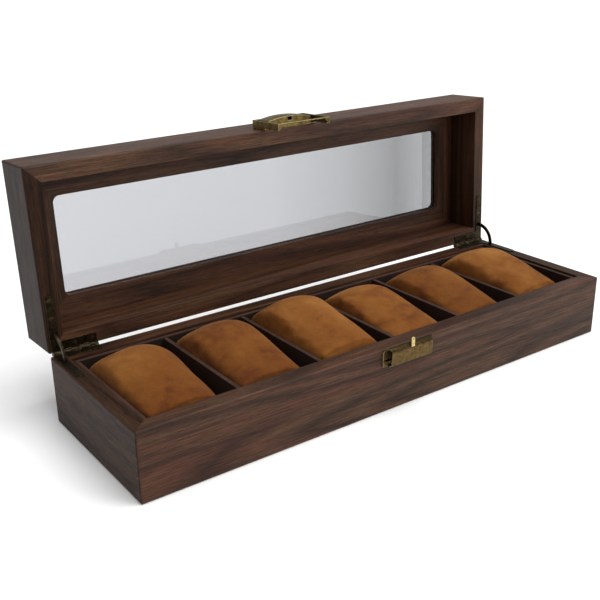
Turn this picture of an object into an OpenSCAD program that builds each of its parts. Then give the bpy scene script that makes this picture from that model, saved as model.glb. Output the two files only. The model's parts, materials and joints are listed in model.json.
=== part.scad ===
// Six-place watch box: a wood-grain case, a hinged lid with a glass window, six lift-out cushions,
// two quadrant stop hinges and a sprung snap latch. Millimetres, +Z up, front at -Y.
// The origin is the centre of the underside. The lid parts are drawn shut, then turned open.

/* [Case] */
// Outside width
box_w = 330; // [300:1:360]
// Outside depth, front to back
box_d = 101; // [96:1:112]
// Height of the base
base_h = 38.6; // [36:0.2:46]
// Height of the lid
lid_h = 31.2; // [30:0.2:38]
// Gap between the two rims when the lid is shut
rim_gap = 1.2; // [1.2:0.1:1.6]
// Thickness of the wall boards
wall_t = 9; // [8:0.5:10]
// Radius of the outside edges, where the film wraps round the board
edge_r = 1.2; // [0.6:0.1:2]
// Thickness of the bottom board
bottom_t = 4; // [3:0.5:5]
// Thickness of the felt under the bottom board
felt_t = 0.8; // [0.5:0.1:1.2]

/* [Lid] */
// How far the lid stands open
lid_open_angle = 93; // [88:1:95]
// Thickness of the lid's top
lid_top_t = 8; // [7:0.5:9]
// Thickness of the top's outer layer, above the glass seat's lower face
outer_layer_t = 4.5; // [4:0.5:5]
// Width of the frame round the window
window_margin = 22; // [20:1:26]
// Corner radius of the window
window_r = 4; // [2:0.5:8]
// Thickness of the glass
glass_t = 1.9; // [1.5:0.1:2]
// How far the glass reaches into the frame
glass_seat = 6; // [4:0.5:8]

/* [Tray] */
// Thickness of the lining boards
liner_t = 2.5; // [2:0.1:3]
// How far the lining stops below the rim
liner_drop = 1.3; // [0.5:0.1:3]
// Thickness of the lined card on the floor
floor_t = 1.2; // [0.8:0.1:2]
// Thickness of the dividers
divider_t = 2.4; // [2:0.1:3]
// Distance from divider to divider
divider_pitch = 51; // [50:0.5:52]
// How far the dividers stop below the rim
divider_drop = 1.6; // [0.5:0.1:4]

/* [Cushions] */
// Width of a cushion
cushion_w = 46.6; // [44:0.2:47]
// Length of a cushion, front to back
cushion_l = 75.6; // [70:0.2:76]
// How far a cushion's top falls from its crown line to its right edge
cushion_fall = 17; // [10:0.5:18]

/* [Hinges] */
// How far the hinge pin stands behind the case
pin_setback = 0.6; // [0.6:0.05:1]
// Radius of the hinge pin
pin_r = 0.7; // [0.6:0.05:0.8]
// Outside radius of the knuckles
knuckle_r = 1.6; // [1.5:0.05:1.8]
// Length of the barrel
barrel_l = 26; // [22:1:30]
// Thickness of the leaves
leaf_t = 0.55; // [0.4:0.05:0.55]
// Width of the leaves' legs
leaf_leg_w = 4.6; // [4:0.2:5]
// Length of the leaves' side legs
leaf_side_l = 31; // [28:1:34]
// Middle radius of the quadrant arms
arm_r = 11.5; // [11:0.1:12]
// Width of the quadrant arms
arm_w = 2.2; // [1.8:0.1:2.4]
// Thickness of the quadrant arms
arm_t = 1; // [0.8:0.1:1.2]

/* [Latch] */
// Sideways place of the latch
latch_x = -0.5; // [-2:0.5:2]
// Thickness of the latch's sheet metal
latch_sheet_t = 0.7; // [0.6:0.05:0.8]
// Width of the push plate
push_w = 29.5; // [28:0.5:31]
// Width of the fixed back plate
back_w = 35.8; // [34:0.2:36]
// How far the push plate stands out from the case
push_out = 4.9; // [4.6:0.1:4.9]
// Outside width of the lid's catch frame
catch_w = 37.2; // [36.8:0.1:38]
// Height of the lid's catch frame
catch_h = 27.2; // [27:0.1:28]
// How far the catch frame stands out
catch_out = 5; // [5:0.1:5.6]

/* [Hidden] */
$fn = 48;
slack = 0.1;
places = 6;
z_rim = base_h + rim_gap;
z_top = z_rim + lid_h;
x_out = box_w / 2;
y_out = box_d / 2;
x_in = x_out - wall_t;
y_in = y_out - wall_t;
big = 2 * box_w;

// tray
z_board = felt_t + bottom_t;
z_floor = z_board + floor_t;
liner_gap = 0.25;
x_tray = x_in - liner_gap - liner_t;
y_tray = y_in - liner_gap - liner_t;
z_liner = base_h - liner_drop;
z_divider = base_h - divider_drop;

// cushions: height of each one's crown above the floor, and how far behind and left of the middle it lies
crown = [43, 43.5, 46, 41.5, 42, 44];
crown_back = 7;
crown_left = 5;
cushion_end_h = 31;
cushion_front_h = 32;
end_place = (x_tray + (places / 2 - 1) * divider_pitch + divider_t / 2) / 2;

// hinges
hinge_y = y_out + pin_setback;
hinge_z = base_h + rim_gap / 2;
hinge_edge_r = 0.4;
bore_r = pin_r + 0.05;
leaf_inset = 1.7;
x_leg = x_out - leaf_inset - leaf_leg_w / 2;
x_leaf = x_out - leaf_inset;
y_leaf = hinge_y - knuckle_r - 0.25;
barrel_x = x_leaf - 0.2;
knuckles = 5;
knuckle_l = barrel_l / knuckles;
screw_r = 0.6;
screw_head_r = 1.4;
screw_l = 5.5;
side_screws = [5, 15];
rear_screws = [4.6, 14.5];
pocket_w = arm_t + 0.5;
stop_r = 1.5;
stop_angle = 11;
arm_reach = lid_open_angle / 2 + stop_angle;

// latch, measured outwards from the front face
y_face = -y_out;
z_flex = base_h - 1.9;
z_plate = base_h - 10.5;
arch_mid_r = (push_out - latch_sheet_t) / 2 - 0.05;
arch_out = push_out - latch_sheet_t / 2 - arch_mid_r;
z_push = base_h - 9.4;
push_lean = 0.4;
z_arch = z_flex + 0.1;
lip_out = 2.6;
hook_w = 2.4;
hook_t = 0.8;
hook_out = 4.5;
hook_top = base_h + 4.4;
hook_barb = 0.7;
hook_eye_r = 0.45;
nail_r = 0.5;
nail_head_r = 0.9;
nail_l = 6;
flange_w = 36;
flange_h = 13;
cover_w = 30.4;
cover_h = 11.1;
cover_side_out = 4.8;
cover_rise = 1.7;
cover_arc_r = (pow(cover_w / 2, 2) + pow(cover_rise, 2)) / (2 * cover_rise);
catch_bar = 1.2;
gate_strip = 0.6;
z_catch_low = z_rim + 12.6 - catch_h;

// ---- helpers ----

module rounded_rect(w, h, r) {
    square([w - 2 * r, h], center = true);
    square([w, h - 2 * r], center = true);
    for (x = [-1, 1], y = [-1, 1])
        translate([x * (w / 2 - r), y * (h / 2 - r)])
            circle(r);
}

// an outline in the YZ plane, run along X and centred on x
module along_x(x, l) {
    translate([x - l / 2, 0, 0])
        rotate([90, 0, 90])
            linear_extrude(l)
                children();
}

// an outline in the XZ plane, run along Y right through the box
module along_y() {
    translate([0, big / 2, 0])
        rotate([90, 0, 0])
            linear_extrude(big)
                children();
}

module cylinder_x(r, x0, x1) {
    translate([x0, 0, 0])
        rotate([0, 90, 0])
            cylinder(r = r, h = x1 - x0);
}

module both_sides() {
    children();
    mirror([1, 0, 0])
        children();
}

// a block of the case's size from z0 to z1 with rounded outside edges; at the hinge they are nearly sharp
module soft_block(z0, z1) {
    h = z1 - z0;
    mid = (z0 + z1) / 2;
    intersection() {
        translate([0, 0, z0])
            linear_extrude(h)
                rounded_rect(box_w, box_d, edge_r);
        along_x(0, box_w + 2)
            translate([0, mid]) {
                rounded_rect(box_d, h, edge_r);
                intersection() {
                    rounded_rect(box_d, h, hinge_edge_r);
                    translate([y_out - edge_r, z0 > 0 ? -h : 0])
                        square([edge_r, h]);
                }
            }
        along_y()
            translate([0, mid])
                rounded_rect(box_w, h, edge_r);
    }
}

// plan of one mitred wall board
module wall_plan(side) {
    if (side == "front")
        polygon([[-x_out, -y_out], [x_out, -y_out], [x_in, -y_in], [-x_in, -y_in]]);
    if (side == "rear")
        polygon([[-x_out, y_out], [-x_in, y_in], [x_in, y_in], [x_out, y_out]]);
    if (side == "left")
        polygon([[-x_out, -y_out], [-x_in, -y_in], [-x_in, y_in], [-x_out, y_out]]);
    if (side == "right")
        polygon([[x_out, -y_out], [x_out, y_out], [x_in, y_in], [x_in, -y_in]]);
}

// the lid's parts are drawn shut and swing open about the hinge pins
module in_lid() {
    translate([0, hinge_y, hinge_z])
        rotate([-lid_open_angle, 0, 0])
            translate([0, -hinge_y, -hinge_z])
                children();
}

// the top layers' sides slope to meet the walls in a mitre
module top_layer(z0, z1) {
    x0 = x_in + (z0 - z_top + lid_top_t) * wall_t / lid_top_t;
    x1 = x_in + (z1 - z_top + lid_top_t) * wall_t / lid_top_t;
    dy = x_out - y_out;
    intersection() {
        along_x(0, big)
            polygon([[dy - x0, z0], [x0 - dy, z0], [x1 - dy, z1], [dy - x1, z1]]);
        along_y()
            polygon([[-x0, z0], [x0, z0], [x1, z1], [-x1, z1]]);
        soft_block(z_rim, z_top);
    }
}

module window(extra) {
    rounded_rect(2 * (x_out - window_margin + extra), 2 * (y_out - window_margin + extra), window_r + extra);
}

// ---- case ----

module base_wall(side) {
    color("#5d4338")
        difference() {
            intersection() {
                soft_block(0, base_h);
                linear_extrude(base_h)
                    wall_plan(side);
            }
            hinge_recesses();
            base_screw_places()
                screw();
            if (side == "front")
                latch_nail_places()
                    cylinder(r = nail_r, h = 3 * nail_l, center = true);
        }
}

module bottom_board() {
    color("#6b5140")
        translate([-x_in, -y_in, felt_t])
            cube([2 * x_in, 2 * y_in, bottom_t]);
}

module bottom_felt() {
    color("#1d1a19")
        translate([-x_in, -y_in, 0])
            cube([2 * x_in, 2 * y_in, felt_t]);
}

// ---- tray ----

module tray_floor() {
    color("#2b1c17")
        translate([-x_tray, -y_tray, z_board])
            cube([2 * x_tray, 2 * y_tray, floor_t]);
}

module liner_long(y) {
    color("#4a342b")
        translate([-x_tray - liner_t, y, z_board])
            cube([2 * (x_tray + liner_t), liner_t, z_liner - z_board]);
}

module liner_short(x) {
    color("#4a342b")
        translate([x, -y_tray, z_board])
            cube([liner_t, 2 * y_tray, z_liner - z_board]);
}

module divider(n) {
    x = (n - places / 2) * divider_pitch;
    color("#4a342b")
        translate([x - divider_t / 2, -y_tray, z_floor])
            cube([divider_t, 2 * y_tray, z_divider - z_floor]);
}

// middle of a cushion's place, counted from the left
function place_x(n) =
    n == 1 ? -end_place :
    n == places ? end_place :
    (n - (places + 1) / 2) * divider_pitch;

// the crown line runs down nearly straight to the front and rounds over to the rear
module cushion_side_outline(h) {
    s = cushion_l / 2;
    steps = 12;
    front = [for (i = [0 : steps]) let (t = 1 - i / steps) [
        crown_back - t * (s + crown_back), h - (h - cushion_front_h) * pow(t, 1.3)]];
    rear = [for (i = [1 : steps]) let (t = i / steps) [
        crown_back + t * (s - crown_back), h - (h - cushion_end_h) * pow(t, 2)]];
    polygon(concat([[-s + 3, 0], [-s, 3]], front, rear, [[s, 3], [s - 3, 0]]));
}

// across, the top falls away as a parabola, further on the right
module cushion_end_outline(h) {
    s = cushion_w / 2;
    steps = 16;
    top = [for (i = [0 : steps]) let (x = s * (2 * i / steps - 1)) [
        x, h - cushion_fall * pow((x + crown_left) / (s + crown_left), 2)]];
    polygon(concat([[-s + 3, 0], [-s, 3]], top, [[s, 3], [s - 3, 0]]));
}

module cushion(n) {
    color("#a5682e")
        translate([place_x(n), 0, z_floor + slack])
            intersection() {
                along_x(0, cushion_w + 2)
                    cushion_side_outline(crown[n - 1]);
                along_y()
                    cushion_end_outline(crown[n - 1]);
            }
}

// ---- lid ----

module lid_wall(side) {
    z_low = z_top - lid_top_t;
    color("#5d4338")
        in_lid()
            difference() {
                intersection() {
                    soft_block(z_rim, z_top);
                    translate([0, 0, z_rim])
                        linear_extrude(lid_h)
                            wall_plan(side);
                    if (side == "front" || side == "rear") {
                        along_x(0, box_w + 2)
                            for (s = [-1, 1])
                                polygon([[s * y_out, z_rim], [s * y_in, z_rim],
                                    [s * y_in, z_low], [s * y_out, z_top]]);
                    } else {
                        along_y()
                            for (s = [-1, 1])
                                polygon([[s * x_out, z_rim], [s * x_in, z_rim],
                                    [s * x_in, z_low], [s * x_out, z_top]]);
                    }
                }
                hinge_recesses();
                lid_screw_places()
                    mirror([0, 0, 1])
                        screw();
                if (side == "front")
                    catch_nail_places()
                        cylinder(r = nail_r, h = 3 * nail_l, center = true);
            }
}

module lid_top_frame() {
    z_split = z_top - outer_layer_t;
    color("#5d4338")
        in_lid()
            difference() {
                top_layer(z_split, z_top);
                translate([0, 0, z_split - 1])
                    linear_extrude(lid_top_t)
                        window(0);
                translate([0, 0, z_split - 1])
                    linear_extrude(1 + glass_t + slack)
                        window(glass_seat + slack);
            }
}

module lid_inner_frame() {
    z_split = z_top - outer_layer_t;
    color("#4a342b")
        in_lid()
            difference() {
                top_layer(z_top - lid_top_t, z_split);
                translate([0, 0, z_split - lid_top_t])
                    linear_extrude(2 * lid_top_t)
                        window(0);
            }
}

module lid_glass() {
    color("#cfd6d8", 0.35)
        in_lid()
            translate([0, 0, z_top - outer_layer_t + slack / 2])
                linear_extrude(glass_t)
                    window(glass_seat);
}

// ---- hinges, drawn for the right-hand side ----

// points on a leaf where a screw goes, as children placed at the case's rim
module leaf_screw_places() {
    for (d = side_screws)
        translate([x_leg, y_leaf - leaf_side_l + d - leaf_leg_w / 2, 0])
            children();
    for (d = rear_screws)
        translate([x_leaf - barrel_l + d - 2, y_leaf - leaf_leg_w / 2, 0])
            children();
}

module base_screw_places() {
    both_sides()
        translate([0, 0, base_h])
            leaf_screw_places()
                children();
}

module lid_screw_places() {
    both_sides()
        translate([0, 0, z_rim])
            leaf_screw_places()
                children();
}

// room in the boards for the barrels and for the arms as they swing in
module hinge_recesses() {
    both_sides()
        translate([0, hinge_y, hinge_z]) {
            cylinder_x(knuckle_r + 0.35, barrel_x - barrel_l - 0.3, barrel_x + 0.3);
            intersection() {
                translate([x_leg - pocket_w / 2, -big - 3, -big / 2])
                    cube([pocket_w, big, big]);
                difference() {
                    cylinder_x(arm_r + 1.8, x_leg - pocket_w, x_leg + pocket_w);
                    cylinder_x(arm_r - 1.8, x_leg - 2 * pocket_w, x_leg + 2 * pocket_w);
                }
            }
        }
}

module leaf_outline() {
    side_w = leaf_leg_w;
    translate([x_leaf - side_w, y_leaf - leaf_side_l + side_w / 2])
        square([side_w, leaf_side_l - side_w / 2]);
    translate([x_leg, y_leaf - leaf_side_l + side_w / 2])
        circle(side_w / 2);
    translate([x_leaf - barrel_l, y_leaf - side_w])
        square([barrel_l, side_w]);
}

// one leaf lying on z0, with the knuckles whose numbers are given
module leaf(z0, own) {
    difference() {
        union() {
            translate([0, 0, z0])
                linear_extrude(leaf_t)
                    leaf_outline();
            for (k = own) {
                x1 = barrel_x - (k - 1) * knuckle_l - slack;
                x0 = x1 - knuckle_l + 2 * slack;
                translate([x0, y_leaf - slack, z0])
                    cube([x1 - x0, hinge_y - y_leaf + slack, leaf_t]);
                translate([0, hinge_y, hinge_z])
                    cylinder_x(knuckle_r, x0, x1);
            }
        }
        translate([0, hinge_y, hinge_z])
            cylinder_x(bore_r, barrel_x - barrel_l - 1, barrel_x + 1);
        arm_slot(z0);
    }
}

module arm_slot(z0) {
    translate([x_leg - pocket_w / 2, hinge_y - arm_r - arm_w / 2 - 0.2, z0 - 1])
        cube([pocket_w, arm_w + 0.4, leaf_t + 2]);
}

// a countersunk screw with its head's face at the leaf's outer face, pointing down
module screw() {
    head_h = screw_head_r - screw_r;
    translate([0, 0, leaf_t - 0.05 - head_h])
        cylinder(r1 = screw_r, r2 = screw_head_r, h = head_h);
    translate([0, 0, leaf_t - 0.05 - head_h - screw_l])
        cylinder(r = screw_r, h = screw_l);
}

module base_leaf() {
    color("#6f6044")
        difference() {
            leaf(base_h, [1, 3, 5]);
            translate([0, 0, base_h])
                leaf_screw_places()
                    screw();
        }
}

module lid_leaf() {
    color("#6f6044")
        in_lid()
            difference() {
                leaf(z_rim - leaf_t, [2, 4]);
                translate([0, 0, z_rim])
                    leaf_screw_places()
                        mirror([0, 0, 1])
                            screw();
            }
}

module hinge_pin() {
    color("#8a7a55")
        translate([0, hinge_y, hinge_z])
            cylinder_x(pin_r, barrel_x - barrel_l + 0.1, barrel_x - 0.1);
}

// a quarter ring about the pin, with a round stop at each end
module quadrant_arm() {
    steps = 6;
    a0 = -arm_reach;
    wedge = [for (i = [0 : steps]) let (a = a0 + 2 * arm_reach * i / steps)
        [-3 * arm_r * cos(a), 3 * arm_r * sin(a)]];
    color("#57482f")
        translate([0, hinge_y, hinge_z])
            rotate([-lid_open_angle / 2, 0, 0]) {
                intersection() {
                    difference() {
                        cylinder_x(arm_r + arm_w / 2, x_leg - arm_t / 2, x_leg + arm_t / 2);
                        cylinder_x(arm_r - arm_w / 2, x_leg - arm_t, x_leg + arm_t);
                    }
                    along_x(x_leg, 2 * arm_t)
                        polygon(concat([[0, 0]], wedge));
                }
                for (a = [-arm_reach, arm_reach])
                    translate([0, -arm_r * cos(a), arm_r * sin(a)])
                        cylinder_x(stop_r, x_leg - arm_t / 2, x_leg + arm_t / 2);
            }
}

module base_hinge_screws() {
    color("#9a875c")
        base_screw_places()
            screw();
}

module lid_hinge_screws() {
    color("#9a875c")
        in_lid()
            lid_screw_places()
                mirror([0, 0, 1])
                    screw();
}

// ---- latch on the base ----

module latch_nail_places() {
    for (s = [-1, 1])
        translate([latch_x + s * (back_w / 2 - 1.5), y_face, z_plate + 3.2])
            rotate([90, 0, 0])
                children();
}

// a round-headed nail, its head on a sheet of thickness t
module nail(t) {
    translate([0, 0, -nail_l])
        cylinder(r = nail_r, h = nail_l + t);
    translate([0, 0, t])
        cylinder(r1 = nail_head_r, r2 = nail_head_r * 0.6, h = 0.4);
}

module latch_back_plate() {
    color("#5e5034")
        difference() {
            union() {
                translate([latch_x - back_w / 2, y_face - latch_sheet_t, z_plate])
                    cube([back_w, latch_sheet_t, z_flex - z_plate]);
                translate([latch_x - push_w / 2, y_face - lip_out, z_plate])
                    cube([push_w, lip_out, latch_sheet_t]);
            }
            latch_nail_places()
                cylinder(r = nail_r, h = 3 * nail_l, center = true);
        }
}

// the push plate and the arch that it flexes on: one folded strip, narrower in front
module latch_push_plate() {
    color("#7d6a40")
        difference() {
            intersection() {
                along_x(latch_x, back_w)
                    push_outline();
                linear_extrude(2 * base_h)
                    polygon([
                        [latch_x - back_w / 2, y_face], [latch_x - push_w / 2, y_face - push_out + 0.9],
                        [latch_x - push_w / 2, y_face - 2 * push_out], [latch_x + push_w / 2, y_face - 2 * push_out],
                        [latch_x + push_w / 2, y_face - push_out + 0.9], [latch_x + back_w / 2, y_face]]);
            }
            hook_blank();
        }
}

module push_outline() {
    translate([y_face - arch_out, z_arch])
        difference() {
            circle(arch_mid_r + latch_sheet_t / 2);
            circle(arch_mid_r - latch_sheet_t / 2);
            translate([-big / 2, -big])
                square(big);
        }
    // the flat plate leans in towards its lower edge
    translate([y_face - push_out, 0])
        polygon([[0, z_arch], [latch_sheet_t, z_arch],
            [latch_sheet_t + push_lean, z_push], [push_lean, z_push]]);
}

module hook_blank() {
    translate([latch_x, y_face - hook_out, 0]) {
        translate([-hook_w / 2, -hook_t / 2, z_arch + 0.6])
            cube([hook_w, hook_t, hook_top - hook_w / 2 - z_arch - 0.6]);
        translate([0, hook_t / 2, hook_top - hook_w / 2])
            rotate([90, 0, 0])
                cylinder(r = hook_w / 2, h = hook_t);
    }
}

module latch_hook() {
    color("#c9b06a")
        difference() {
            union() {
                hook_blank();
                translate([latch_x - hook_w / 2 + 0.4, y_face - hook_out + hook_t / 2 - 0.05, z_rim + 1.25])
                    cube([hook_w - 0.8, hook_barb + 0.05, 0.8]);
            }
            translate([latch_x, y_face, hook_top - hook_w / 2])
                rotate([90, 0, 0])
                    cylinder(r = hook_eye_r, h = 2 * push_out);
        }
}

module latch_nails() {
    color("#9a875c")
        latch_nail_places()
            nail(latch_sheet_t);
}

// ---- catch on the lid ----

module catch_nail_places() {
    for (s = [-1, 1], z = [3.6, 9])
        translate([latch_x + s * (cover_w / 2 + 1.1), y_face, z_rim + z])
            rotate([90, 0, 0])
                children();
}

// a block under an arched top, out from the face; shrink takes the sheet's thickness off all round
module cover_block(shrink) {
    w = cover_w - 2 * shrink;
    h = cover_h - 2 * shrink;
    intersection() {
        translate([latch_x - w / 2, y_face - 4 * catch_out, z_rim + 0.2 + shrink])
            cube([w, 4 * catch_out, h]);
        translate([latch_x, y_face - cover_side_out - cover_rise + cover_arc_r, z_rim])
            cylinder(r = cover_arc_r - shrink, h = 2 * cover_h, $fn = 200);
    }
}

module catch_cover() {
    color("#6f6044")
        in_lid()
            difference() {
                union() {
                    translate([latch_x - flange_w / 2, y_face - latch_sheet_t, z_rim + 0.4])
                        cube([flange_w, latch_sheet_t, flange_h]);
                    cover_block(0);
                }
                difference() {
                    cover_block(latch_sheet_t);
                    translate([-big / 2, y_face - latch_sheet_t, 0])
                        cube(big);
                }
                // slot for the hook
                translate([latch_x - hook_w / 2 - 0.4, y_face - hook_out - 1.5, z_rim - 1])
                    cube([hook_w + 0.8, 1.5 + hook_t / 2 + 0.15, 3]);
                catch_nail_places()
                    cylinder(r = nail_r, h = 3 * nail_l, center = true);
            }
}

module catch_frame() {
    inner = catch_w - 2 * catch_bar;
    color("#8b7a50")
        in_lid()
            difference() {
                translate([latch_x - catch_w / 2, y_face - catch_out, z_catch_low])
                    cube([catch_w, catch_out, catch_h]);
                translate([latch_x - inner / 2, y_face - 2 * catch_out, z_catch_low + catch_bar])
                    cube([inner, 4 * catch_out, catch_h - 2 * catch_bar]);
                // room for the flange, and for the base's own plate when shut
                translate([-big / 2, y_face - latch_sheet_t - 0.02, z_rim])
                    cube(big);
                translate([-big / 2, y_face - latch_sheet_t - 0.3, z_catch_low - 1])
                    cube([big, big, z_rim - z_catch_low + 1.01]);
                catch_gate();
            }
}

// the gate in the frame's lower bar, which passes round the push plate as the lid shuts
module catch_gate() {
    inner_out = latch_sheet_t + 0.2;
    outer_out = catch_out - gate_strip;
    translate([latch_x, y_face, z_catch_low - 1])
        linear_extrude(catch_bar + 1)
            polygon([
                [-back_w / 2 - 0.35, -inner_out], [-push_w / 2 - 0.4, -outer_out],
                [push_w / 2 + 0.4, -outer_out], [back_w / 2 + 0.35, -inner_out]]);
}

module catch_nails() {
    color("#9a875c")
        in_lid()
            catch_nail_places()
                nail(latch_sheet_t);
}

// ---- what is drawn ----

base_wall("front");  // base_front_wall
base_wall("rear");  // base_rear_wall
base_wall("left");  // base_left_wall
base_wall("right");  // base_right_wall
bottom_board();
bottom_felt();
tray_floor();
liner_long(-y_tray - liner_t);  // liner_front
liner_long(y_tray);  // liner_rear
liner_short(-x_tray - liner_t);  // liner_left
liner_short(x_tray);  // liner_right
divider(1);  // divider_1
divider(2);  // divider_2
divider(3);  // divider_3
divider(4);  // divider_4
divider(5);  // divider_5
cushion(1);  // cushion_1
cushion(2);  // cushion_2
cushion(3);  // cushion_3
cushion(4);  // cushion_4
cushion(5);  // cushion_5
cushion(6);  // cushion_6
lid_wall("front");  // lid_front_wall
lid_wall("rear");  // lid_rear_wall
lid_wall("left");  // lid_left_wall
lid_wall("right");  // lid_right_wall
lid_top_frame();
lid_glass();
lid_inner_frame();
mirror([1, 0, 0]) base_leaf();  // hinge_base_leaf_left
base_leaf();  // hinge_base_leaf_right
mirror([1, 0, 0]) lid_leaf();  // hinge_lid_leaf_left
lid_leaf();  // hinge_lid_leaf_right
mirror([1, 0, 0]) hinge_pin();  // hinge_pin_left
hinge_pin();  // hinge_pin_right
mirror([1, 0, 0]) quadrant_arm();  // quadrant_arm_left
quadrant_arm();  // quadrant_arm_right
base_hinge_screws();
lid_hinge_screws();
latch_back_plate();
latch_push_plate();
latch_hook();
latch_nails();
catch_cover();
catch_frame();
catch_nails();
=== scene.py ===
"""Looks of a six-place watch box: walnut film, a glass window, camel suede cushions, bronze fittings."""

import bmesh
import bpy
import json
import math
from mathutils import Matrix, Vector, noise


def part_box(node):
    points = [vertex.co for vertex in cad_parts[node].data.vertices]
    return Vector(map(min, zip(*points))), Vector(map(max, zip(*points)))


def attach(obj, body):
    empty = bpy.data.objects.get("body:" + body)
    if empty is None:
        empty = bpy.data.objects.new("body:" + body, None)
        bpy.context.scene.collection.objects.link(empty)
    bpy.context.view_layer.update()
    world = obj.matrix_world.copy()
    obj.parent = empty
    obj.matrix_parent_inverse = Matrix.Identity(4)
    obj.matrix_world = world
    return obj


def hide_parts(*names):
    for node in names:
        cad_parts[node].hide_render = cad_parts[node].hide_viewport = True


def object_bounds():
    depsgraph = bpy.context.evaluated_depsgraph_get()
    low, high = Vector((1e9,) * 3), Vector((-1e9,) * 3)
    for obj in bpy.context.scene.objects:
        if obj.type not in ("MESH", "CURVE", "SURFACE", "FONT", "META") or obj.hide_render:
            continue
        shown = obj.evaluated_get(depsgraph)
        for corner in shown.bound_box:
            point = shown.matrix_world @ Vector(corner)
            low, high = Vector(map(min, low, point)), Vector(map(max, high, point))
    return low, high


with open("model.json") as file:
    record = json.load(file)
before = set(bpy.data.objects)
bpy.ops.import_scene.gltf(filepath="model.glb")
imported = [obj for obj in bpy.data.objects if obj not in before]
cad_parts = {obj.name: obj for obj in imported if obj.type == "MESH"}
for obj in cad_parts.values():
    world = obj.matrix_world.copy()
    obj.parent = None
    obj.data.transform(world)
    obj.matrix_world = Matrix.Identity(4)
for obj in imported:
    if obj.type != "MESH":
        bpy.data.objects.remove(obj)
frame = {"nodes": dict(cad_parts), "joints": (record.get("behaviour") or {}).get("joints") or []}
cad_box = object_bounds()

MM = 0.001
NODES = frame["nodes"]
PLACES = range(1, 7)

# the lid's hinge: the lid parts are described as they lie when shut, then turned open about it
HINGE = next(j for j in frame["joints"] if j["name"] == "lid_hinge")
HINGE_AT = Vector(HINGE["pos_m"])
OPEN_ANGLE = math.radians(-HINGE["range_deg"][0])
OPENED = Matrix.Translation(HINGE_AT) @ Matrix.Rotation(-OPEN_ANGLE, 4, "X") @ Matrix.Translation(-HINGE_AT)
SHUT = OPENED.inverted()

# ---- camera, floor and light ----

CAMERA_AT = Vector((-0.31302, -0.38629, 0.24447))
CAMERA_AZIMUTH = math.radians(-35.619)
CAMERA_ELEVATION = math.radians(21.637)
CAMERA_ROLL = math.radians(-0.873)
CAMERA_LENS = 54.582


def make_camera():
    """A camera at the three-quarter view from the front left, a little above."""
    data = bpy.data.cameras.new("camera")
    data.sensor_width = 36
    data.lens = CAMERA_LENS
    data.clip_start = 0.01
    camera = bpy.data.objects.new("camera", data)
    bpy.context.scene.collection.objects.link(camera)
    level = Matrix.Rotation(CAMERA_AZIMUTH, 4, "Z") @ Matrix.Rotation(math.pi / 2 - CAMERA_ELEVATION, 4, "X")
    camera.matrix_world = Matrix.Translation(CAMERA_AT) @ level @ Matrix.Rotation(CAMERA_ROLL, 4, "Z")
    bpy.context.scene.camera = camera


def make_light(name, place, size, watts, tint):
    """A soft square lamp that faces the middle of the box."""
    data = bpy.data.lights.new(name, "AREA")
    data.size = size
    data.energy = watts
    data.color = tint
    lamp = bpy.data.objects.new(name, data)
    bpy.context.scene.collection.objects.link(lamp)
    lamp.location = place
    aim = (cad_box[0] + cad_box[1]) / 2 - lamp.location
    lamp.rotation_euler = aim.to_track_quat("-Z", "Y").to_euler()


def make_studio():
    """A pale paper sweep under soft white light, stronger from the upper right."""
    bpy.context.scene.view_settings.view_transform = "Standard"
    world = bpy.data.worlds.new("studio")
    world.use_nodes = True
    world.node_tree.nodes["Background"].inputs["Color"].default_value = (1, 1, 1, 1)
    world.node_tree.nodes["Background"].inputs["Strength"].default_value = 0.6
    bpy.context.scene.world = world
    overhead = bpy.data.lights.new("overhead", "SUN")
    overhead.energy = 2.2
    overhead.angle = math.radians(50)
    lamp = bpy.data.objects.new("overhead", overhead)
    lamp.rotation_euler = (math.radians(12), math.radians(14), 0)
    bpy.context.scene.collection.objects.link(lamp)
    make_light("key", (0.6, -0.8, 0.6), 0.7, 5, (1, 0.985, 0.96))
    bpy.ops.object.select_all(action="DESELECT")
    bpy.ops.mesh.primitive_grid_add(x_subdivisions=2, y_subdivisions=2, size=16)
    floor = bpy.context.object
    floor.name = "floor"
    floor.location.z = -0.05 * MM
    paper, tree, shader = new_material("matt white paper")
    shader.inputs["Base Color"].default_value = colour("f6f6f6")
    shader.inputs["Roughness"].default_value = 0.9
    floor.data.materials.append(paper)


# ---- materials ----


def colour(code):
    """An sRGB hex colour as the linear colour that a shader takes."""
    parts = [int(code[i : i + 2], 16) / 255 for i in (0, 2, 4)]
    return tuple(c / 12.92 if c <= 0.04045 else ((c + 0.055) / 1.055) ** 2.4 for c in parts) + (1,)


def new_material(name):
    material = bpy.data.materials.new(name)
    material.use_nodes = True
    return material, material.node_tree, material.node_tree.nodes["Principled BSDF"]


def add(tree, kind, settings={}, inputs={}):
    """Adds one shader node. Settings are its own values, inputs are values or the nodes linked to them."""
    node = tree.nodes.new("ShaderNode" + kind)
    for name, value in settings.items():
        if name == "stops":
            ends = node.color_ramp.elements
            ends[0].position, ends[0].color = value[0]
            ends[1].position, ends[1].color = value[-1]
            for position, shade in value[1:-1]:
                ends.new(position).color = shade
        else:
            setattr(node, name, value)
    plug(tree, node, inputs)
    return node


def plug(tree, node, inputs):
    """Gives a node's inputs their values or links."""
    for name, value in inputs.items():
        if isinstance(value, bpy.types.Node):
            value = value.outputs[0]
        if isinstance(value, bpy.types.NodeSocket):
            tree.links.new(value, node.inputs[name])
        else:
            node.inputs[name].default_value = value


def lid_mapping():
    """Turn and shift that take a point on the open lid to where it lies when shut."""
    return {"Rotation": SHUT.to_euler(), "Location": SHUT.to_translation()}


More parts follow.
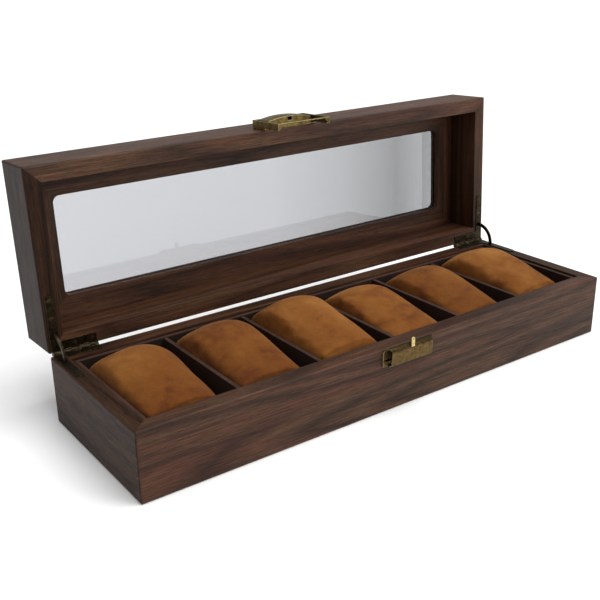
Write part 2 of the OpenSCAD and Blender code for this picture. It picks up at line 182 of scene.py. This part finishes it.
def walnut_film(name, along, on_lid=False, warmth=1.0, dark=1.0, sheen=0.2):
    """Printed walnut film wrapped round MDF, satin, with embossed pores.

    The eye sees long streaks that close into tall arches, from grey-brown to reddish brown, and short
    dark pores. along is the grain's way: x, y, or mitre, where it follows each side of a frame."""
    material, tree, shader = new_material(name)
    spot = add(tree, "TexCoord").outputs["Object"]
    if on_lid:
        spot = add(tree, "Mapping", {}, {"Vector": spot, **lid_mapping()})
    crossways = add(tree, "Mapping", {}, {"Vector": spot, "Rotation": (0, 0, math.pi / 2)})
    if along == "mitre":
        # past the mitre line the frame's short sides take the cross-wise grain
        axes = add(tree, "SeparateXYZ", {}, {0: spot})
        x = add(tree, "Math", {"operation": "ABSOLUTE"}, {0: axes.outputs["X"]})
        y = add(tree, "Math", {"operation": "ABSOLUTE"}, {0: axes.outputs["Y"]})
        ahead = add(tree, "Math", {"operation": "SUBTRACT"}, {0: x, 1: y})
        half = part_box("lid_top_frame")[1].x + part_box("base_front_wall")[0].y
        side = add(tree, "Math", {"operation": "GREATER_THAN"}, {0: ahead, 1: half})
        grain = add(tree, "Mix", {"data_type": "VECTOR"}, {0: side, 4: spot, 5: crossways}).outputs[1]
    else:
        grain = spot if along == "x" else crossways

    def stretched(length, width, settings):
        """Noise drawn out along the grain. Length and width are its marks' sizes in millimetres."""
        scale = (1 / (length * MM), 1 / (width * MM), 1 / (width * MM))
        vector = add(tree, "VectorMath", {"operation": "MULTIPLY"}, {0: grain, 1: scale})
        return add(tree, "TexNoise", {}, {"Vector": vector, "Scale": 1, **settings})

    figure = stretched(300, 26, {"Detail": 1.5, "Roughness": 0.4, "Distortion": 0.15})
    streak = stretched(70, 1.3, {"Detail": 4, "Roughness": 0.65})
    ray = stretched(15, 0.6, {"Detail": 2, "Roughness": 0.75})
    pore = stretched(5, 0.4, {"Detail": 1, "Roughness": 0.5})
    blush = stretched(150, 6, {"Detail": 3, "Roughness": 0.6})
    # growth rings are the level lines of the broad figure, broken up by the streaks
    rings = add(tree, "Math", {"operation": "MULTIPLY"}, {0: figure, 1: 16})
    ragged = add(tree, "Math", {"operation": "MULTIPLY_ADD"}, {0: streak, 1: 1.1, 2: rings})
    wave = add(tree, "Math", {"operation": "PINGPONG"}, {0: ragged, 1: 1})
    band = add(tree, "ValToRGB", {"stops": [
        (0.0, colour("27160c")), (0.15, colour("311e12")),
        (0.55, colour("3d2718")), (1.0, colour("462f1f"))]}, {0: wave})
    red = add(tree, "MapRange", {}, {"Value": blush, 1: 0.42, 2: 0.62, 3: 0, 4: warmth})
    warm = add(tree, "Mix", {"data_type": "RGBA", "blend_type": "MULTIPLY"}, {
        0: red, 6: band.outputs[0], 7: (1.14, 0.9, 0.88, 1)}).outputs[2]
    # fine streaks and pores darken the print
    tone = add(tree, "MapRange", {}, {"Value": ray, 1: 0.3, 2: 0.7, 3: 0.56, 4: 1.46})
    broad = add(tree, "MapRange", {}, {"Value": streak, 1: 0.32, 2: 0.68, 3: 0.74, 4: 1.26})
    pit = add(tree, "MapRange", {}, {"Value": pore, 1: 0.6, 2: 0.7, 3: 1, 4: 0.5})
    speck = add(tree, "TexNoise", {}, {
        "Vector": spot, "Scale": 1 / (0.5 * MM), "Detail": 2, "Roughness": 0.7})
    fleck = add(tree, "MapRange", {}, {"Value": speck, 1: 0.3, 2: 0.7, 3: 0.8, 4: 1.2})
    lines = add(tree, "Math", {"operation": "MULTIPLY"}, {0: tone, 1: fleck})
    both = add(tree, "Math", {"operation": "MULTIPLY"}, {0: lines, 1: broad})
    shade = add(tree, "Math", {"operation": "MULTIPLY"}, {0: both, 1: pit})
    level = add(tree, "Math", {"operation": "MULTIPLY"}, {0: shade, 1: dark})
    print_colour = add(tree, "VectorMath", {"operation": "SCALE"}, {0: warm, "Scale": level})
    gloss = add(tree, "MapRange", {}, {"Value": ray, 1: 0.3, 2: 0.7, 3: 0.56, 4: 0.42})
    relief = add(tree, "Bump", {}, {"Strength": 0.5, "Distance": 0.12 * MM, "Height": shade})
    plug(tree, shader, {"Base Color": print_colour, "Roughness": gloss, "Normal": relief})
    shader.inputs["IOR"].default_value = 1.48
    shader.inputs["Specular IOR Level"].default_value = sheen
    return material


def flocked_lining():
    """Chocolate flocked paper on the tray's boards: matt, near black on its upright faces in the gaps, its
    upward faces painted paler as painted light from above.
    """
    material, tree, shader = new_material("chocolate flocked paper")
    spot = add(tree, "TexCoord").outputs["Object"]
    fibre = add(tree, "TexNoise", {}, {
        "Vector": spot, "Scale": 1 / (0.8 * MM), "Detail": 3, "Roughness": 0.7})
    patch = add(tree, "TexNoise", {}, {"Vector": spot, "Scale": 1 / (14 * MM), "Detail": 2})
    mixed = add(tree, "Math", {"operation": "MULTIPLY_ADD"}, {0: patch, 1: 0.5, 2: fibre})
    base = add(tree, "ValToRGB", {"stops": [(0.55, colour("150c08")), (0.95, colour("2a1a13"))]}, {0: mixed})
    # painted light: the upward faces are painted up to 2.6 times paler, as if lit from above
    up = add(tree, "SeparateXYZ", {}, {0: add(tree, "TexCoord").outputs["Normal"]}).outputs["Z"]
    painted_top_light = add(tree, "MapRange", {}, {"Value": up, 1: 0.5, 2: 0.95, 3: 1, 4: 2.6})
    tint = add(tree, "VectorMath", {"operation": "SCALE"}, {0: base, "Scale": painted_top_light})
    relief = add(tree, "Bump", {}, {"Strength": 0.4, "Distance": 0.15 * MM, "Height": fibre})
    plug(tree, shader, {"Base Color": tint, "Normal": relief})
    shader.inputs["Roughness"].default_value = 0.85
    shader.inputs["Specular IOR Level"].default_value = 0.25
    shader.inputs["Sheen Weight"].default_value = 0.12
    shader.inputs["Sheen Roughness"].default_value = 0.4
    shader.inputs["Sheen Tint"].default_value = colour("8a6553")
    return material


def camel_suede(name, deep):
    """Camel suede: a short nap that lies this way and that, brushed lighter and darker, with a soft bloom,
    and painted shade where its top turns down.

    deep tells how much deeper and redder the colour grows towards the front, from 0 for brushed up to 1 for
    brushed down."""
    material, tree, shader = new_material(name)
    spot = add(tree, "TexCoord").outputs["Object"]
    brushed = add(tree, "TexNoise", {}, {
        "Vector": spot, "Scale": 1 / (26 * MM), "Detail": 3, "Roughness": 0.5, "Distortion": 0.4})
    cloud = add(tree, "TexNoise", {}, {"Vector": spot, "Scale": 1 / (6 * MM), "Detail": 4, "Roughness": 0.65})
    nap = add(tree, "TexNoise", {}, {"Vector": spot, "Scale": 1 / (0.55 * MM), "Detail": 2, "Roughness": 0.8})
    mixed = add(tree, "Math", {"operation": "MULTIPLY_ADD"}, {0: cloud, 1: 0.3, 2: brushed})
    base = add(tree, "ValToRGB", {"stops": [
        (0.46, colour("5e3110")), (0.6, colour("774719")),
        (0.75, colour("845424")), (0.9, colour("956530"))]}, {0: mixed})
    # painted shade: the colour is paler where the top faces up, deeper and redder where it turns down; the
    # stronger of this and the nap's patches darkens it
    up = add(tree, "SeparateXYZ", {}, {0: add(tree, "TexCoord").outputs["Normal"]}).outputs["Z"]
    painted_slope_shade = add(tree, "MapRange", {}, {"Value": up, 1: 1, 2: 0.6, 3: 0, 4: 0.4})
    # darker and redder towards the front of each cushion, in the brushed patches, more so on the deep suede
    depth = add(tree, "SeparateXYZ", {}, {0: spot}).outputs["Y"]
    ahead = add(tree, "MapRange", {}, {
        "Value": depth, 1: 10 * MM, 2: -40 * MM, 3: 0.5 * deep, 4: 0.5 * deep + 0.65})
    brush = add(tree, "Math", {"operation": "MULTIPLY"}, {0: brushed, 1: 2})
    uneven = add(tree, "Math", {"operation": "MULTIPLY"}, {0: ahead, 1: brush})
    nap_tone_and_painted_shade = add(tree, "Math", {"operation": "MAXIMUM"}, {0: painted_slope_shade, 1: uneven})
    nap_tint = add(tree, "Mix", {"data_type": "RGBA", "blend_type": "MULTIPLY"}, {
        0: nap_tone_and_painted_shade, 6: base.outputs[0], 7: (0.6, 0.5, 0.32, 1)}).outputs[2]
    grain = add(tree, "MapRange", {}, {"Value": nap, 1: 0.25, 2: 0.75, 3: 0.8, 4: 1.18})
    tint = add(tree, "VectorMath", {"operation": "SCALE"}, {0: nap_tint, "Scale": grain})
    height = add(tree, "Math", {"operation": "MULTIPLY_ADD"}, {0: cloud, 1: 1.5, 2: nap})
    relief = add(tree, "Bump", {}, {"Strength": 0.35, "Distance": 0.2 * MM, "Height": height})
    plug(tree, shader, {"Base Color": tint, "Normal": relief})
    shader.inputs["Roughness"].default_value = 0.95
    shader.inputs["Specular IOR Level"].default_value = 0.2
    shader.inputs["Sheen Weight"].default_value = 0.22
    shader.inputs["Sheen Roughness"].default_value = 0.45
    shader.inputs["Sheen Tint"].default_value = colour("d9a468")
    return material


def bronze(name, low, high, rough, grain=2.2, painted_shade_above=None):
    """Antique bronze plate on stamped steel: brown patina in the hollows, olive gold where it is rubbed.

    grain is the size of the patina's patches in millimetres. Above the given height the colour is painted
    darker, down to 0.3, as painted shade."""
    material, tree, shader = new_material(name)
    spot = add(tree, "TexCoord").outputs["Object"]
    patch = add(tree, "TexNoise", {}, {
        "Vector": spot, "Scale": 1 / (grain * MM), "Detail": 4, "Roughness": 0.6, "Distortion": 0.4})
    speck = add(tree, "TexNoise", {}, {"Vector": spot, "Scale": 1 / (0.35 * MM), "Detail": 2})
    mixed = add(tree, "Math", {"operation": "MULTIPLY_ADD"}, {0: speck, 1: 0.25, 2: patch})
    tint = add(tree, "ValToRGB", {"stops": [(0.45, colour(low)), (0.8, colour(high))]}, {0: mixed})
    if painted_shade_above is not None:
        # painted shade: the fold at the top is painted darker, down to 0.3, for the shade in the gap there
        height = add(tree, "SeparateXYZ", {}, {0: spot}).outputs["Z"]
        fold = add(tree, "MapRange", {}, {
            "Value": height, 1: painted_shade_above, 2: painted_shade_above + 1.2 * MM, 3: 1, 4: 0.3})
        tint = add(tree, "VectorMath", {"operation": "SCALE"}, {0: tint, "Scale": fold})
    dull = add(tree, "MapRange", {}, {"Value": patch, 1: 0.3, 2: 0.7, 3: rough + 0.12, 4: rough - 0.08})
    relief = add(tree, "Bump", {}, {"Strength": 0.2, "Distance": 0.05 * MM, "Height": mixed})
    plug(tree, shader, {"Base Color": tint, "Roughness": dull, "Normal": relief})
    shader.inputs["Metallic"].default_value = 1
    return material


def window_glass():
    """Float glass, 2 mm: its grey, greyer towards one end, is a painted backdrop and reflection seen in the
    clear glass, with a trace of handling haze.
    """
    material, tree, shader = new_material("float glass")
    spot = add(tree, "TexCoord").outputs["Object"]
    smear = add(tree, "TexNoise", {}, {
        "Vector": spot, "Scale": 1 / (40 * MM), "Detail": 3, "Distortion": 0.8})
    haze = add(tree, "MapRange", {}, {"Value": smear, 1: 0.4, 2: 0.7, 3: 0.0, 4: 0.03})
    across = add(tree, "SeparateXYZ", {}, {0: spot})
    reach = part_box("lid_glass")[1].x
    place = add(tree, "MapRange", {}, {"Value": across.outputs["X"], 1: -reach, 2: reach, 3: 0, 4: 1})
    # painted reflection: the grey tint, darkest at 0.86 of the way across, stands for a grey backdrop and its
    # reflection seen in the clear glass
    tint = add(tree, "ValToRGB", {"stops": [
        (0.0, colour("bfc0c4")), (0.5, colour("b3b4b8")), (0.7, colour("9fa0a3")),
        (0.86, colour("7e7f81")), (0.96, colour("98999b"))]}, {0: place})
    plug(tree, shader, {"Base Color": tint, "Roughness": haze})
    # lamps shine through it, so that the tray is lit when the lid is shut
    lamps_through = add(tree, "BsdfTransparent")
    lamps_through.inputs["Color"].default_value = colour("f4f5f5")
    lamp_rays = add(tree, "LightPath").outputs["Is Shadow Ray"]
    pane = add(tree, "MixShader", {}, {0: lamp_rays, 1: shader, 2: lamps_through})
    plug(tree, tree.nodes["Material Output"], {"Surface": pane})
    shader.inputs["Transmission Weight"].default_value = 1
    shader.inputs["IOR"].default_value = 1.52
    return material


def raw_fibreboard():
    """Bare MDF of the bottom board: pale brown and mottled with fine fibres."""
    material, tree, shader = new_material("bare fibreboard")
    spot = add(tree, "TexCoord").outputs["Object"]
    fibre = add(tree, "TexNoise", {}, {
        "Vector": spot, "Scale": 1 / (0.9 * MM), "Detail": 4, "Roughness": 0.7})
    tint = add(tree, "ValToRGB", {"stops": [(0.35, colour("6d5138")), (0.7, colour("92724f"))]}, {0: fibre})
    relief = add(tree, "Bump", {}, {"Strength": 0.3, "Distance": 0.1 * MM, "Height": fibre})
    plug(tree, shader, {"Base Color": tint, "Normal": relief})
    shader.inputs["Roughness"].default_value = 0.85
    return material


def needle_felt():
    """Black needle felt on the underside: matt, with matted fibres and paler flecks."""
    material, tree, shader = new_material("black needle felt")
    spot = add(tree, "TexCoord").outputs["Object"]
    fibre = add(tree, "TexNoise", {}, {
        "Vector": spot, "Scale": 1 / (0.7 * MM), "Detail": 4, "Roughness": 0.75, "Distortion": 2})
    tint = add(tree, "ValToRGB", {"stops": [(0.4, colour("191716")), (0.75, colour("3a3634"))]}, {0: fibre})
    relief = add(tree, "Bump", {}, {"Strength": 0.7, "Distance": 0.25 * MM, "Height": fibre})
    plug(tree, shader, {"Base Color": tint, "Normal": relief})
    shader.inputs["Roughness"].default_value = 0.97
    shader.inputs["Sheen Weight"].default_value = 0.3
    return material


# ---- modelling helpers ----


def only(obj):
    """Leaves obj the one selected and active object."""
    bpy.ops.object.select_all(action="DESELECT")
    obj.hide_set(False)
    obj.select_set(True)
    bpy.context.view_layer.objects.active = obj


def pick_faces(obj, test):
    """In edit mode, selects the faces whose middle and normal pass the test."""
    bpy.ops.mesh.select_all(action="DESELECT")
    bpy.context.tool_settings.mesh_select_mode = (False, False, True)
    mesh = bmesh.from_edit_mesh(obj.data)
    for face in mesh.faces:
        if test(face.calc_center_median(), face.normal):
            face.select_set(True)
    bmesh.update_edit_mesh(obj.data)


def settle(obj):
    """Puts an object's place into its mesh, so that the object sits at the origin."""
    only(obj)
    bpy.ops.object.transform_apply(location=True, rotation=True, scale=True)


def dress(obj, *materials):
    obj.data.materials.clear()
    for material in materials:
        obj.data.materials.append(material)


def solids(node):
    """Corner points of each separate solid in a CAD node."""
    copy = NODES[node].copy()
    copy.data = copy.data.copy()
    bpy.context.scene.collection.objects.link(copy)
    copy.parent = None
    only(copy)
    bpy.ops.object.mode_set(mode="EDIT")
    bpy.ops.mesh.select_all(action="SELECT")
    bpy.ops.mesh.remove_doubles(threshold=0.001 * MM)
    bpy.ops.mesh.separate(type="LOOSE")
    bpy.ops.object.mode_set(mode="OBJECT")
    found = []
    for part in list(bpy.context.selected_objects):
        found.append([v.co.copy() for v in part.data.vertices])
        bpy.data.objects.remove(part)
    return sorted(found, key=lambda points: [round(value, 4) for value in middle_of(points)])


def middle_of(points):
    return sum(points, Vector()) / len(points)


def ease_edges(node, width, rubbed=False):
    """Rounds a CAD node's sharp edges by a hair. On metal the edge takes the second, rubbed finish."""
    obj = NODES[node]
    weld = obj.modifiers.new("join triangles", "WELD")
    weld.merge_threshold = 0.002 * MM
    bevel = obj.modifiers.new("eased edges", "BEVEL")
    bevel.width = width
    bevel.segments = 2
    bevel.limit_method = "ANGLE"
    bevel.angle_limit = math.radians(35)
    bevel.harden_normals = True
    bevel.miter_outer = "MITER_ARC"
    if rubbed:
        bevel.material = 1


# ---- cushions ----

CUSHION_VOXEL = 2.2 * MM
# the stuffed cover swells no further than this
CUSHION_SWELL = 2.0 * MM
# how far its sides and ends may stand out past the CAD solid
CUSHION_CLEAR = 0.5 * MM
CUSHION_CUTS = 23
# where the crown lies from the middle, and how far the top falls from it to each edge
CROWN_BACK = 10 * MM
CROWN_LEFT = 1 * MM
STUFFED_RISE = 1.5 * MM
FRONT_FALL = 10.5 * MM
REAR_FALL = 12 * MM
RIGHT_FALL = 11 * MM
LEFT_FALL = 3.2 * MM
SEAM_IN = 1.6 * MM
SEAM_WIDE = 0.7 * MM
SEAM_DEEP = 0.5 * MM
# slow swells of a hand-filled cover: how far apart, and how high
UNEVEN_SIZE = 18 * MM
UNEVEN_RISE = 0.7 * MM


def top_drop(x, y):
    """How far a cushion's top lies below its crown, at x and y from its middle.

    The crown line runs down to the front and rounds over to the rear. Across, the top falls to both sides."""
    ahead = max(0, (CROWN_BACK - y) / (48 * MM))
    behind = max(0, (y - CROWN_BACK) / (28 * MM))
    along = FRONT_FALL * ahead**1.25 + REAR_FALL * behind**2
    sideways = (x + CROWN_LEFT) / (20 * MM)
    to_right = RIGHT_FALL * max(0, sideways) ** 3.2
    to_left = LEFT_FALL * max(0, -sideways) ** 2
    return STUFFED_RISE + along + (1 - 0.3 * ahead) * (to_right + to_left)


def cushion_block(number):
    """The foam block: a cube cut fine, its top shaped, drawn in where the stuffed cover will swell."""
    low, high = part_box(f"cushion_{number}")
    middle = (low + high) / 2
    bpy.ops.object.select_all(action="DESELECT")
    bpy.ops.mesh.primitive_cube_add(size=1, location=middle, scale=high - low)
    obj = bpy.context.object
    obj.name = f"suede_cushion_{number}"
    bpy.ops.object.transform_apply(location=True, rotation=True, scale=True)
    bpy.ops.object.mode_set(mode="EDIT")
    bpy.ops.mesh.select_all(action="SELECT")
    bpy.ops.mesh.subdivide(number_cuts=CUSHION_CUTS)
    bpy.ops.object.mode_set(mode="OBJECT")
    height = high.z - low.z
    for v in obj.data.vertices:
        drop = top_drop(v.co.x - middle.x, v.co.y - middle.y)
        v.co.z = low.z + (v.co.z - low.z) * (1 - drop / height)
        for i in (0, 1):
            v.co[i] = middle[i] + (v.co[i] - middle[i]) * (1 - CUSHION_SWELL / (high[i] - low[i]))
    soften = obj.modifiers.new("round edges", "BEVEL")
    soften.width = 1.5 * MM
    soften.segments = 3
    soften.limit_method = "ANGLE"
    soften.angle_limit = math.radians(50)
    bpy.ops.object.modifier_apply(modifier=soften.name)
    remesh = obj.modifiers.new("voxels", "REMESH")
    remesh.mode = "VOXEL"
    remesh.voxel_size = CUSHION_VOXEL
    bpy.ops.object.modifier_apply(modifier=remesh.name)
    return obj


def stuff(obj):
    """Blows the cover up over its foam as cloth under pressure, then holds each point to a short way."""
    before = [v.co.copy() for v in obj.data.vertices]
    only(obj)
    cloth = obj.modifiers.new("stuffing", "CLOTH")
    cloth.settings.quality = 6
    cloth.settings.mass = 0.15
    cloth.settings.tension_stiffness = 12
    cloth.settings.compression_stiffness = 12
    cloth.settings.bending_stiffness = 1.5
    cloth.settings.use_pressure = True
    cloth.settings.uniform_pressure_force = 4
    cloth.settings.effector_weights.gravity = 0
    for step in range(1, 21):
        bpy.context.scene.frame_set(step)
    bpy.ops.object.modifier_apply(modifier=cloth.name)
    bpy.context.scene.frame_set(1)
    for v, start in zip(obj.data.vertices, before):
        moved = v.co - start
        if moved.length > CUSHION_SWELL:
            v.co = start + moved.normalized() * CUSHION_SWELL


def hold_in_place(obj, node):
    """Keeps the cover inside its place in the tray and flat on the tray's floor."""
    low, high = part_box(node)
    for v in obj.data.vertices:
        for i in (0, 1):
            v.co[i] = min(max(v.co[i], low[i] - CUSHION_CLEAR), high[i] + CUSHION_CLEAR)
        v.co.z = max(v.co.z, low.z)


def handle(obj, number):
    """Soft unevenness of a hand-filled cover, different on each cushion."""
    outwards = [v.normal.copy() for v in obj.data.vertices]
    for v, out in zip(obj.data.vertices, outwards):
        slow = noise.noise(v.co / UNEVEN_SIZE + Vector((number * 7.3, 0, 0)))
        v.co += out * slow * UNEVEN_RISE


def sew(obj, node):
    """A seam all round near each end, where the wrapped cover is sewn to its end panel."""
    low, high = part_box(node)
    outwards = [v.normal.copy() for v in obj.data.vertices]
    for v, out in zip(obj.data.vertices, outwards):
        inwards = min(v.co.y - low.y, high.y - v.co.y) - SEAM_IN
        if v.co.z > low.z + MM:
            v.co -= out * SEAM_DEEP * math.exp(-((inwards / SEAM_WIDE) ** 2))


def make_cushions(suedes):
    """The six cushions, each covered in its own suede."""
    for number in PLACES:
        node = f"cushion_{number}"
        obj = cushion_block(number)
        stuff(obj)
        handle(obj, number)
        hold_in_place(obj, node)
        only(obj)
        for name in ("fairing", "finer"):
            smooth = obj.modifiers.new(name, "SUBSURF")
            smooth.levels = smooth.render_levels = 1
            bpy.ops.object.modifier_apply(modifier=smooth.name)
        sew(obj, node)
        hold_in_place(obj, node)
        bpy.ops.object.shade_smooth()
        dress(obj, suedes[number - 1])
        settle(obj)
        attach(obj, node)
        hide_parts(node)


# ---- screws and nails ----


def cross_screw():
    """A countersunk screw with a cross recess, its head's rim at the origin, pointing down.

    The head's dome is low enough that the heads in two leaves clear each other when they fold together."""
    head_r, shank_r, head_h, length = 1.38 * MM, 0.58 * MM, 0.8 * MM, 5.2 * MM
    bpy.ops.object.select_all(action="DESELECT")
    bpy.ops.mesh.primitive_cylinder_add(
        vertices=28, radius=head_r, depth=head_h, location=(0, 0, -head_h / 2))
    screw = bpy.context.object
    bpy.ops.object.transform_apply(location=True)
    bpy.ops.object.mode_set(mode="EDIT")
    pick_faces(screw, lambda at, normal: normal.z < -0.9)
    bpy.ops.transform.resize(value=(shank_r / head_r,) * 3, center_override=(0, 0, -head_h))
    bpy.ops.mesh.extrude_region_move(TRANSFORM_OT_translate={"value": (0, 0, -length)})
    bpy.ops.transform.resize(value=(0.3, 0.3, 1), center_override=(0, 0, -head_h - length))
    pick_faces(screw, lambda at, normal: normal.z > 0.9)
    for inset, rise in ((0.12, 0.03), (0.3, 0.03), (0.4, 0.02)):
        bpy.ops.mesh.inset(thickness=inset * MM)
        bpy.ops.transform.translate(value=(0, 0, rise * MM))
    bpy.ops.object.mode_set(mode="OBJECT")
    cutter = cross_bit()
    only(screw)
    cut = screw.modifiers.new("recess", "BOOLEAN")
    cut.operation = "DIFFERENCE"
    cut.object = cutter
    cut.solver = "EXACT"
    bpy.ops.object.modifier_apply(modifier=cut.name)
    bpy.data.objects.remove(cutter)
    bpy.ops.object.shade_smooth_by_angle(angle=math.radians(35))
    return screw


def cross_bit():
    """The driver bit that the recess fits: two crossed blades, narrower below."""
    blades = []
    for turn in (0, math.pi / 2):
        bpy.ops.object.select_all(action="DESELECT")
        bpy.ops.mesh.primitive_cube_add(size=1, location=(0, 0, 0.05 * MM), rotation=(0, 0, turn),
            scale=(1.7 * MM, 0.34 * MM, 0.9 * MM))
        blade = bpy.context.object
        bpy.ops.object.mode_set(mode="EDIT")
        pick_faces(blade, lambda at, normal: normal.z < -0.9)
        bpy.ops.transform.resize(value=(0.5, 0.5, 1), center_override=(0, 0, 0))
        bpy.ops.object.mode_set(mode="OBJECT")
        bpy.ops.object.transform_apply(location=True, rotation=True, scale=True)
        blades.append(blade)
    only(blades[0])
    join = blades[0].modifiers.new("join", "BOOLEAN")
    join.operation = "UNION"
    join.object = blades[1]
    bpy.ops.object.modifier_apply(modifier=join.name)
    bpy.data.objects.remove(blades[1])
    return blades[0]


def domed_nail():
    """A short round-headed pin, its head's underside at the origin, pointing down."""
    head_r, shank_r, length = 0.9 * MM, 0.48 * MM, 5.6 * MM
    bpy.ops.object.select_all(action="DESELECT")
    bpy.ops.mesh.primitive_cylinder_add(
        vertices=20, radius=head_r, depth=0.14 * MM, location=(0, 0, 0.07 * MM))
    nail = bpy.context.object
    bpy.ops.object.transform_apply(location=True)
    bpy.ops.object.mode_set(mode="EDIT")
    pick_faces(nail, lambda at, normal: normal.z > 0.9)
    for inset, rise in ((0.1, 0.12), (0.2, 0.1), (0.3, 0.05)):
        bpy.ops.mesh.inset(thickness=inset * MM)
        bpy.ops.transform.translate(value=(0, 0, rise * MM))
    pick_faces(nail, lambda at, normal: normal.z < -0.9)
    bpy.ops.mesh.inset(thickness=head_r - shank_r)
    bpy.ops.mesh.extrude_region_move(TRANSFORM_OT_translate={"value": (0, 0, -length)})
    bpy.ops.transform.resize(value=(0.2, 0.2, 1), center_override=(0, 0, -length))
    bpy.ops.object.mode_set(mode="OBJECT")
    bpy.ops.object.shade_smooth_by_angle(angle=math.radians(40))
    return nail


def drive(name, pattern, node, heading, body, metal, lift):
    """Puts a copy of a fixing at each solid of a CAD node, driven along heading, as one piece.

    lift is how far the pattern's origin lies inside the solid's outer end."""
    turn = heading.to_track_quat("-Z", "Y").to_matrix().to_4x4()
    copies = []
    for count, points in enumerate(solids(node)):
        middle = middle_of(points)
        reach = max((middle - point).dot(heading) for point in points)
        top = middle - heading * (reach - lift)
        copy = pattern.copy()
        copy.data = pattern.data.copy()
        bpy.context.scene.collection.objects.link(copy)
        spin = Matrix.Rotation(count * 0.83, 4, "Z")
        copy.data.transform(Matrix.Translation(top) @ turn @ spin)
        copies.append(copy)
    bpy.ops.object.select_all(action="DESELECT")
    for copy in copies:
        copy.select_set(True)
    bpy.context.view_layer.objects.active = copies[0]
    bpy.ops.object.join()
    piece = bpy.context.object
    piece.name = name
    dress(piece, metal)
    settle(piece)
    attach(piece, body)
    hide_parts(node)


def make_fixings(brass):
    """Screws in the hinge leaves, pins in the latch and the catch."""
    down = Vector((0, 0, -1))
    into_lid = (OPENED.to_3x3() @ Vector((0, 0, 1))).normalized()
    into_front = Vector((0, 1, 0))
    into_lid_front = (OPENED.to_3x3() @ into_front).normalized()
    screw = cross_screw()
    nail = domed_nail()
    drive("base_leaf_screws", screw, "base_hinge_screws", down, "base", brass, 0)
    drive("lid_leaf_screws", screw, "lid_hinge_screws", into_lid, "lid", brass, 0)
    drive("latch_pins", nail, "latch_nails", into_front, "base", brass, 0.4 * MM)
    drive("catch_pins", nail, "catch_nails", into_lid_front, "lid", brass, 0.4 * MM)
    bpy.data.objects.remove(screw)
    bpy.data.objects.remove(nail)


# ---- finishes on the CAD pieces ----


def dress_case():
    """Walnut film on every board, its grain along the board, in darker and lighter copies that paint shade
    and sheen.
    """
    long_film = walnut_film("walnut film, long boards", "x")
    # painted light: the end boards and the lid's left and right boards take darker copies of the film (0.62,
    # 0.4, 0.75) as painted shade, the end and lid left ones cooler too, and the lid's long boards a 1.15
    # times lighter copy as painted sheen
    end_film_painted_shade = walnut_film("walnut film, end boards, painted shade", "y", warmth=0.3, dark=0.62, sheen=0.12)
    lid_long_film_painted_light = walnut_film("walnut film, lid long boards, painted light", "x", on_lid=True, dark=1.15)
    lid_left_film_painted_shade = walnut_film(
        "walnut film, lid left board, painted shade", "y", on_lid=True, warmth=0.6, dark=0.4, sheen=0.1)
    lid_right_film_painted_shade = walnut_film("walnut film, lid right board, painted shade", "y", on_lid=True, dark=0.75, sheen=0.15)
    mitred_film = walnut_film("walnut film, mitred frames", "mitre", on_lid=True)
    for side, base_film, lid_film in (
            ("front", long_film, lid_long_film_painted_light), ("rear", long_film, lid_long_film_painted_light),
            ("left", end_film_painted_shade, lid_left_film_painted_shade), ("right", end_film_painted_shade, lid_right_film_painted_shade)):
        dress(NODES[f"base_{side}_wall"], base_film)
        dress(NODES[f"lid_{side}_wall"], lid_film)
    dress(NODES["lid_top_frame"], mitred_film)
    dress(NODES["lid_inner_frame"], mitred_film)


def dress_tray():
    """Flocked lining in the tray, the bare bottom board, the felt under it, and the window's glass."""
    lining = flocked_lining()
    for node in [n for n in NODES if n.startswith(("liner_", "divider_"))] + ["tray_floor"]:
        dress(NODES[node], lining)
        ease_edges(node, 0.3 * MM)
    dress(NODES["bottom_board"], raw_fibreboard())
    dress(NODES["bottom_felt"], needle_felt())
    dress(NODES["lid_glass"], window_glass())


def dress_fittings():
    """Bronze hinges, latch and catch, their edges rubbed to a paler metal. Returns the fixings' brass."""
    dark = bronze("antique bronze, hinges", "14100a", "3b3223", 0.42)
    olive = bronze("antique bronze, catch", "4f3e24", "76653a", 0.45, 3.5)
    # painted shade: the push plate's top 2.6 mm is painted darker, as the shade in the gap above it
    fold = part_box("latch_push_plate")[1].z - 2.6 * MM
    push = bronze("antique bronze, push plate", "523f25", "6d5935", 0.5, 1.6, fold)
    rubbed = bronze("rubbed bronze edge", "83785a", "a89d78", 0.36)
    bright = bronze("bright brass", "b89f63", "d9c48a", 0.3, 1.2)
    for node in [n for n in NODES if n.startswith(("hinge_", "quadrant_"))]:
        dress(NODES[node], dark, rubbed)
        ease_edges(node, 0.12 * MM, rubbed=True)
    for node in ("latch_back_plate", "latch_push_plate", "catch_cover", "catch_frame"):
        dress(NODES[node], push if node.startswith("latch_") else olive, rubbed)
        ease_edges(node, 0.16 * MM, rubbed=True)
    dress(NODES["latch_hook"], bright, bright)
    ease_edges("latch_hook", 0.15 * MM)
    return bronze("dull brass", "33291a", "5a4b30", 0.42, 1.0)


make_camera()
make_studio()
dress_case()
dress_tray()
brass = dress_fittings()
make_fixings(brass)
brushed_up = camel_suede("camel suede, brushed up", 0)
brushed_down = camel_suede("camel suede, brushed down", 1)
make_cushions([brushed_down, brushed_down, brushed_up, brushed_up, brushed_down, brushed_up])

bpy.context.view_layer.update()
